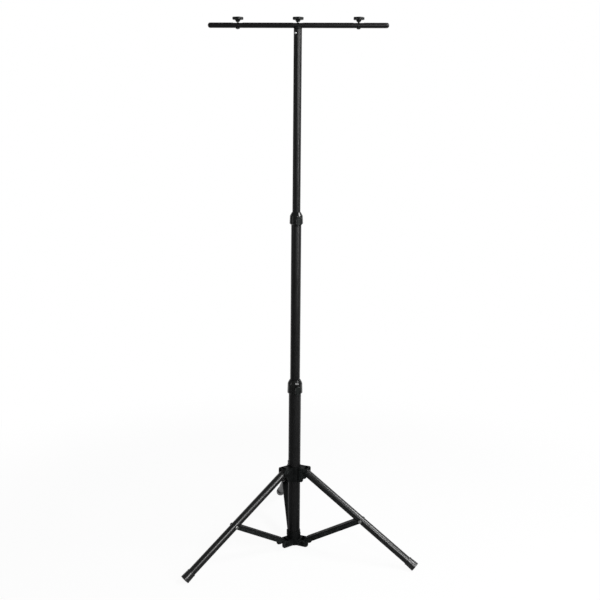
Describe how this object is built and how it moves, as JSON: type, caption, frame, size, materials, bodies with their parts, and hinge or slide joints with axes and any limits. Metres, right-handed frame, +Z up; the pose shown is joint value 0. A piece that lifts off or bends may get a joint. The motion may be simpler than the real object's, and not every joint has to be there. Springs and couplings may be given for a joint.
{
  "type": "lighting t bar stand",
  "caption": "Black telescopic mast on a folding tripod with a short crossbar on top and screw knobs that clamp small stage lights.",
  "frame": {"origin": "centre of the underside of the mast foot cap, on the mast axis", "axes": "+Z up along the mast, +X along the T-bar towards its right end, -Y towards the front"},
  "size_m": [0.6488, 0.6286, 1.505],
  "materials": {
    "mast_powder_coat": "satin black powder coat",
    "leg_powder_coat": "semi-gloss black powder coat",
    "black_bracket": "black coated pressed steel",
    "collar_plastic": "glossy black moulded plastic",
    "knob_plastic": "black moulded plastic",
    "cap_plastic": "black moulded plastic",
    "guide_plastic": "dark plain plastic",
    "boot_rubber": "black rubber",
    "bright_steel": "zinc-plated steel"
  },
  "bodies": {
    "mast_base": {"base_tube": "mast_powder_coat", "mast_foot_cap": "cap_plastic", "lower_collar": "collar_plastic", "strut_hub": "black_bracket", "strut_pin_rear": "bright_steel", "strut_pin_left": "bright_steel", "strut_pin_right": "bright_steel", "neck_rivet_rear": "black_bracket", "neck_rivet_left": "black_bracket", "neck_rivet_right": "black_bracket"},
    "lower_collar_knob": {"lower_collar_knob": "knob_plastic", "lower_collar_screw": "bright_steel"},
    "leg_hub": {"leg_hub": "black_bracket", "leg_pivot_bolt_rear": "bright_steel", "leg_pivot_bolt_left": "bright_steel", "leg_pivot_bolt_right": "bright_steel"},
    "leg_hub_knob": {"leg_hub_knob": "knob_plastic", "leg_hub_screw": "bright_steel"},
    "leg_rear": {"leg_tube_rear": "leg_powder_coat", "leg_plug_rear": "cap_plastic", "leg_boot_rear": "boot_rubber", "leg_spacer_rear": "bright_steel"},
    "leg_left": {"leg_tube_left": "leg_powder_coat", "leg_plug_left": "cap_plastic", "leg_boot_left": "boot_rubber", "leg_spacer_left": "bright_steel"},
    "leg_right": {"leg_tube_right": "leg_powder_coat", "leg_plug_right": "cap_plastic", "leg_boot_right": "boot_rubber", "leg_spacer_right": "bright_steel"},
    "strut_rear": {"strut_rear": "black_bracket", "strut_rivet_rear_a": "bright_steel", "strut_rivet_rear_b": "bright_steel"},
    "strut_left": {"strut_left": "black_bracket", "strut_rivet_left_a": "bright_steel", "strut_rivet_left_b": "bright_steel"},
    "strut_right": {"strut_right": "black_bracket", "strut_rivet_right_a": "bright_steel", "strut_rivet_right_b": "bright_steel"},
    "middle_glide": {"middle_tube_glide": "guide_plastic"},
    "middle_mast": {"middle_tube": "mast_powder_coat", "upper_collar": "collar_plastic"},
    "upper_collar_knob": {"upper_collar_knob": "knob_plastic", "upper_collar_screw": "bright_steel"},
    "top_glide": {"top_tube_glide": "guide_plastic"},
    "top_mast": {"top_tube": "mast_powder_coat", "t_bar_socket": "black_bracket", "socket_screw": "bright_steel", "t_bar": "mast_powder_coat", "t_bar_cap_left": "cap_plastic", "t_bar_cap_right": "cap_plastic", "fixture_nut_left": "bright_steel", "fixture_nut_centre": "bright_steel", "fixture_nut_right": "bright_steel"},
    "fixture_knob_left": {"fixture_knob_left": "knob_plastic", "fixture_stud_left": "bright_steel"},
    "fixture_knob_centre": {"fixture_knob_centre": "knob_plastic", "fixture_stud_centre": "bright_steel"},
    "fixture_knob_right": {"fixture_knob_right": "knob_plastic", "fixture_stud_right": "bright_steel"}
  },
  "joints": [
    {"name": "leg_hub_slide", "type": "slide", "parent": "mast_base", "child": "leg_hub", "axis": [0, 0, 1], "range_m": [0, 0.1892]},
    {"name": "leg_hub_knob_turn", "type": "hinge", "parent": "leg_hub", "child": "leg_hub_knob", "pos_m": [0, 0, 0.221], "axis": [0.7547, 0.6561, 0], "range_deg": [0, 720]},
    {"name": "leg_rear_fold", "type": "hinge", "parent": "leg_hub", "child": "leg_rear", "pos_m": [-0.00797, 0.0392, 0.226], "axis": [-0.9799, -0.1994, 0], "range_deg": [0, 51.64]},
    {"name": "leg_left_fold", "type": "hinge", "parent": "leg_hub", "child": "leg_left", "pos_m": [-0.02996, -0.0265, 0.226], "axis": [0.6626, -0.749, 0], "range_deg": [0, 51.64]},
    {"name": "leg_right_fold", "type": "hinge", "parent": "leg_hub", "child": "leg_right", "pos_m": [0.03793, -0.01269, 0.226], "axis": [0.3173, 0.9483, 0], "range_deg": [0, 51.64]},
    {"name": "strut_rear_fold", "type": "hinge", "parent": "mast_base", "child": "strut_rear", "pos_m": [-0.00698, 0.0343, 0.012], "axis": [0.9799, 0.1994, 0], "range_deg": [0, 54.97]},
    {"name": "strut_left_fold", "type": "hinge", "parent": "mast_base", "child": "strut_left", "pos_m": [-0.02621, -0.02319, 0.012], "axis": [-0.6626, 0.749, 0], "range_deg": [0, 54.97]},
    {"name": "strut_right_fold", "type": "hinge", "parent": "mast_base", "child": "strut_right", "pos_m": [0.03319, -0.01111, 0.012], "axis": [-0.3173, -0.9483, 0], "range_deg": [0, 54.97]},
    {"name": "lower_collar_knob_turn", "type": "hinge", "parent": "mast_base", "child": "lower_collar_knob", "pos_m": [0, 0, 0.478], "axis": [0.342, -0.9397, 0], "range_deg": [0, 720]},
    {"name": "middle_mast_slide", "type": "slide", "parent": "mast_base", "child": "middle_glide", "axis": [0, 0, 1], "range_m": [-0.38, 0]},
    {"name": "middle_mast_turn", "type": "hinge", "parent": "middle_glide", "child": "middle_mast", "pos_m": [0, 0, 0.49], "axis": [0, 0, 1], "continuous": true},
    {"name": "upper_collar_knob_turn", "type": "hinge", "parent": "middle_mast", "child": "upper_collar_knob", "pos_m": [0, 0, 0.959], "axis": [0.342, -0.9397, 0], "range_deg": [0, 720]},
    {"name": "top_mast_slide", "type": "slide", "parent": "middle_mast", "child": "top_glide", "axis": [0, 0, 1], "range_m": [-0.44, 0]},
    {"name": "top_mast_turn", "type": "hinge", "parent": "top_glide", "child": "top_mast", "pos_m": [0, 0, 0.97], "axis": [0, 0, 1], "continuous": true},
    {"name": "fixture_knob_left_turn", "type": "hinge", "parent": "top_mast", "child": "fixture_knob_left", "pos_m": [-0.16, 0, 1.474], "axis": [0, 0, 1], "range_deg": [0, 1080]},
    {"name": "fixture_knob_centre_turn", "type": "hinge", "parent": "top_mast", "child": "fixture_knob_centre", "pos_m": [0, 0, 1.474], "axis": [0, 0, 1], "range_deg": [0, 1080]},
    {"name": "fixture_knob_right_turn", "type": "hinge", "parent": "top_mast", "child": "fixture_knob_right", "pos_m": [0.16, 0, 1.474], "axis": [0, 0, 1], "range_deg": [0, 1080]}
  ],
  "couplings": [
    {"joint": "leg_rear_fold", "follows": "leg_hub_slide", "rad_per_m": 4.7623},
    {"joint": "leg_left_fold", "follows": "leg_hub_slide", "rad_per_m": 4.7623},
    {"joint": "leg_right_fold", "follows": "leg_hub_slide", "rad_per_m": 4.7623},
    {"joint": "strut_rear_fold", "follows": "leg_hub_slide", "rad_per_m": 5.0693},
    {"joint": "strut_left_fold", "follows": "leg_hub_slide", "rad_per_m": 5.0693},
    {"joint": "strut_right_fold", "follows": "leg_hub_slide", "rad_per_m": 5.0693}
  ]
}
